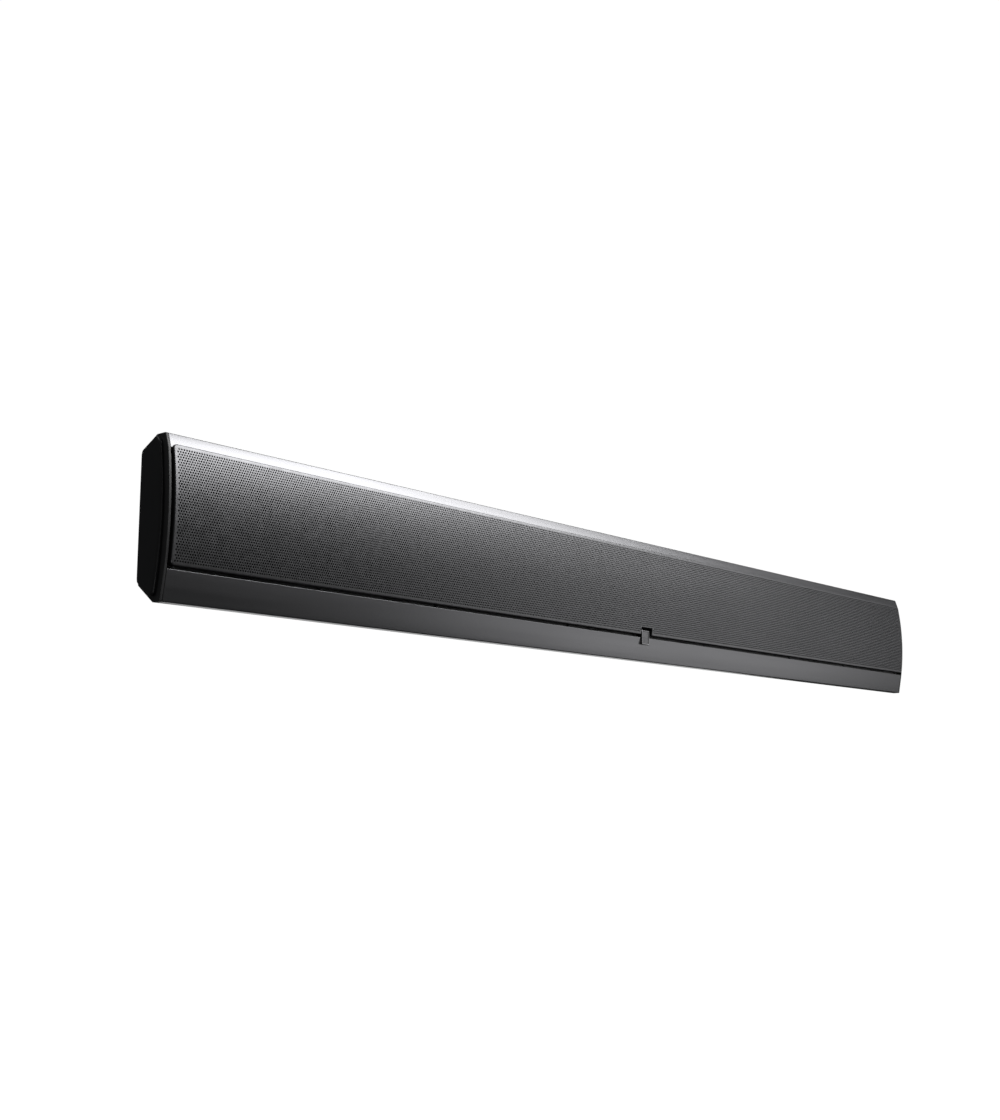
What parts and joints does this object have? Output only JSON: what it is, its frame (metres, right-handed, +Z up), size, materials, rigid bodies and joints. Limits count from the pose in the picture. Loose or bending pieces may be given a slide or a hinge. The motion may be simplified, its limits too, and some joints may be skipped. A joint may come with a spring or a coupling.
{
  "type": "loudspeaker bar",
  "caption": "Slim on-wall passive loudspeaker bar: anodised rails with a bevelled top, curved pull-off grille, black end caps, shallow drivers and binding posts in the back",
  "frame": {"origin": "on the wall plane, at the middle of the bar's length and height, on the face of the middle wall bumper", "axes": "+X along the bar to the viewer's right, -Y out of the front, +Y into the wall, +Z up"},
  "size_m": [1.097, 0.0335, 0.113],
  "materials": {
    "anodised_shell": "fine satin anodised, dark grey",
    "panel_paint": "fine textured black powder coat",
    "black_abs": "fine grained matte black",
    "black_trim": "soft satin black",
    "foam_seal": "closed-cell foam, matte",
    "zinc_screw": "zinc plated",
    "black_screw": "black oxide",
    "badge_metal": "satin with polished border",
    "grille_steel": "satin dark grey powder coat on perforated steel",
    "black_rubber": "matte",
    "motor_steel": "dark zinc",
    "dome_metal": "matte black anodised",
    "basket_metal": "satin black paint",
    "post_brass": "gold-coloured plating",
    "post_red": "moulded, semi-gloss red",
    "post_black": "moulded, semi-gloss black",
    "circuit_board": "green solder mask",
    "coil_copper": "enamelled copper winding",
    "capacitor_film": "yellow film wrap",
    "wire_sleeve": "plastic insulation",
    "grey_felt": "felt",
    "zinc_plate": "zinc plated"
  },
  "bodies": {
    "cabinet": {"top_rail": "anodised_shell", "bottom_rail": "anodised_shell", "rear_panel": "panel_paint", "panel_screws": "black_screw", "left_end_cap": "black_abs", "right_end_cap": "black_abs", "left_end_trim": "black_trim", "right_end_trim": "black_trim", "end_gaskets": "foam_seal", "end_cap_screws": "zinc_screw", "front_baffle": "black_abs", "baffle_gasket": "foam_seal", "baffle_screws": "black_screw", "badge": "badge_metal", "grille_grommets": "black_rubber", "woofer_baskets": "basket_metal", "woofer_surround_1": "black_rubber", "woofer_surround_2": "black_rubber", "woofer_surround_3": "black_rubber", "woofer_surround_4": "black_rubber", "woofer_surround_5": "black_rubber", "woofer_surround_6": "black_rubber", "woofer_motors": "motor_steel", "tweeter_plates": "black_trim", "tweeter_domes": "dome_metal", "tweeter_motors": "motor_steel", "driver_screws": "black_screw", "terminal_cup": "black_abs", "terminal_studs": "post_brass", "crossover_board": "circuit_board", "crossover_coils": "coil_copper", "crossover_capacitors": "capacitor_film", "wire_harness": "wire_sleeve", "chamber_partitions": "black_abs", "damping_pads": "grey_felt", "keyhole_pockets": "zinc_plate", "threaded_inserts": "post_brass", "wall_bumpers": "black_rubber"},
    "grille": {"grille_mesh": "grille_steel", "grille_frame": "black_abs"},
    "cone_1": {"woofer_cone_1": "dome_metal"},
    "cone_2": {"woofer_cone_2": "dome_metal"},
    "cone_3": {"woofer_cone_3": "dome_metal"},
    "cone_4": {"woofer_cone_4": "dome_metal"},
    "cone_5": {"woofer_cone_5": "dome_metal"},
    "cone_6": {"woofer_cone_6": "dome_metal"},
    "collar_1": {"post_collar_1": "post_brass"},
    "post_cap_1": {"post_cap_1": "post_red"},
    "collar_2": {"post_collar_2": "post_brass"},
    "post_cap_2": {"post_cap_2": "post_red"},
    "collar_3": {"post_collar_3": "post_brass"},
    "post_cap_3": {"post_cap_3": "post_red"},
    "collar_4": {"post_collar_4": "post_brass"},
    "post_cap_4": {"post_cap_4": "post_black"},
    "collar_5": {"post_collar_5": "post_brass"},
    "post_cap_5": {"post_cap_5": "post_black"},
    "collar_6": {"post_collar_6": "post_brass"},
    "post_cap_6": {"post_cap_6": "post_black"}
  },
  "joints": [
    {"name": "grille_pull", "type": "slide", "parent": "cabinet", "child": "grille", "axis": [0, -1, 0], "range_m": [0, 0.08]},
    {"name": "cone_1_stroke", "type": "slide", "parent": "cabinet", "child": "cone_1", "axis": [0, -1, 0], "range_m": [-0.0025, 0.0025], "stiffness_N_per_m": 1000, "deforming": ["woofer_surround_1"]},
    {"name": "cone_2_stroke", "type": "slide", "parent": "cabinet", "child": "cone_2", "axis": [0, -1, 0], "range_m": [-0.0025, 0.0025], "stiffness_N_per_m": 1000, "deforming": ["woofer_surround_2"]},
    {"name": "cone_3_stroke", "type": "slide", "parent": "cabinet", "child": "cone_3", "axis": [0, -1, 0], "range_m": [-0.0025, 0.0025], "stiffness_N_per_m": 1000, "deforming": ["woofer_surround_3"]},
    {"name": "cone_4_stroke", "type": "slide", "parent": "cabinet", "child": "cone_4", "axis": [0, -1, 0], "range_m": [-0.0025, 0.0025], "stiffness_N_per_m": 1000, "deforming": ["woofer_surround_4"]},
    {"name": "cone_5_stroke", "type": "slide", "parent": "cabinet", "child": "cone_5", "axis": [0, -1, 0], "range_m": [-0.0025, 0.0025], "stiffness_N_per_m": 1000, "deforming": ["woofer_surround_5"]},
    {"name": "cone_6_stroke", "type": "slide", "parent": "cabinet", "child": "cone_6", "axis": [0, -1, 0], "range_m": [-0.0025, 0.0025], "stiffness_N_per_m": 1000, "deforming": ["woofer_surround_6"]},
    {"name": "post_1_travel", "type": "slide", "parent": "cabinet", "child": "collar_1", "axis": [0, 1, 0], "range_m": [0, 0.0032]},
    {"name": "post_1_turn", "type": "hinge", "parent": "collar_1", "child": "post_cap_1", "pos_m": [0.174, -0.0075, 0.014], "axis": [0, -1, 0], "range_deg": [0, 1440]},
    {"name": "post_2_travel", "type": "slide", "parent": "cabinet", "child": "collar_2", "axis": [0, 1, 0], "range_m": [0, 0.0032]},
    {"name": "post_2_turn", "type": "hinge", "parent": "collar_2", "child": "post_cap_2", "pos_m": [0.2, -0.0075, 0.014], "axis": [0, -1, 0], "range_deg": [0, 1440]},
    {"name": "post_3_travel", "type": "slide", "parent": "cabinet", "child": "collar_3", "axis": [0, 1, 0], "range_m": [0, 0.0032]},
    {"name": "post_3_turn", "type": "hinge", "parent": "collar_3", "child": "post_cap_3", "pos_m": [0.226, -0.0075, 0.014], "axis": [0, -1, 0], "range_deg": [0, 1440]},
    {"name": "post_4_travel", "type": "slide", "parent": "cabinet", "child": "collar_4", "axis": [0, 1, 0], "range_m": [0, 0.0032]},
    {"name": "post_4_turn", "type": "hinge", "parent": "collar_4", "child": "post_cap_4", "pos_m": [0.174, -0.0075, -0.006], "axis": [0, -1, 0], "range_deg": [0, 1440]},
    {"name": "post_5_travel", "type": "slide", "parent": "cabinet", "child": "collar_5", "axis": [0, 1, 0], "range_m": [0, 0.0032]},
    {"name": "post_5_turn", "type": "hinge", "parent": "collar_5", "child": "post_cap_5", "pos_m": [0.2, -0.0075, -0.006], "axis": [0, -1, 0], "range_deg": [0, 1440]},
    {"name": "post_6_travel", "type": "slide", "parent": "cabinet", "child": "collar_6", "axis": [0, 1, 0], "range_m": [0, 0.0032]},
    {"name": "post_6_turn", "type": "hinge", "parent": "collar_6", "child": "post_cap_6", "pos_m": [0.226, -0.0075, -0.006], "axis": [0, -1, 0], "range_deg": [0, 1440]}
  ],
  "couplings": [
    {"joint": "post_1_turn", "follows": "post_1_travel", "rad_per_m": 7854},
    {"joint": "post_2_turn", "follows": "post_2_travel", "rad_per_m": 7854},
    {"joint": "post_3_turn", "follows": "post_3_travel", "rad_per_m": 7854},
    {"joint": "post_4_turn", "follows": "post_4_travel", "rad_per_m": 7854},
    {"joint": "post_5_turn", "follows": "post_5_travel", "rad_per_m": 7854},
    {"joint": "post_6_turn", "follows": "post_6_travel", "rad_per_m": 7854}
  ]
}
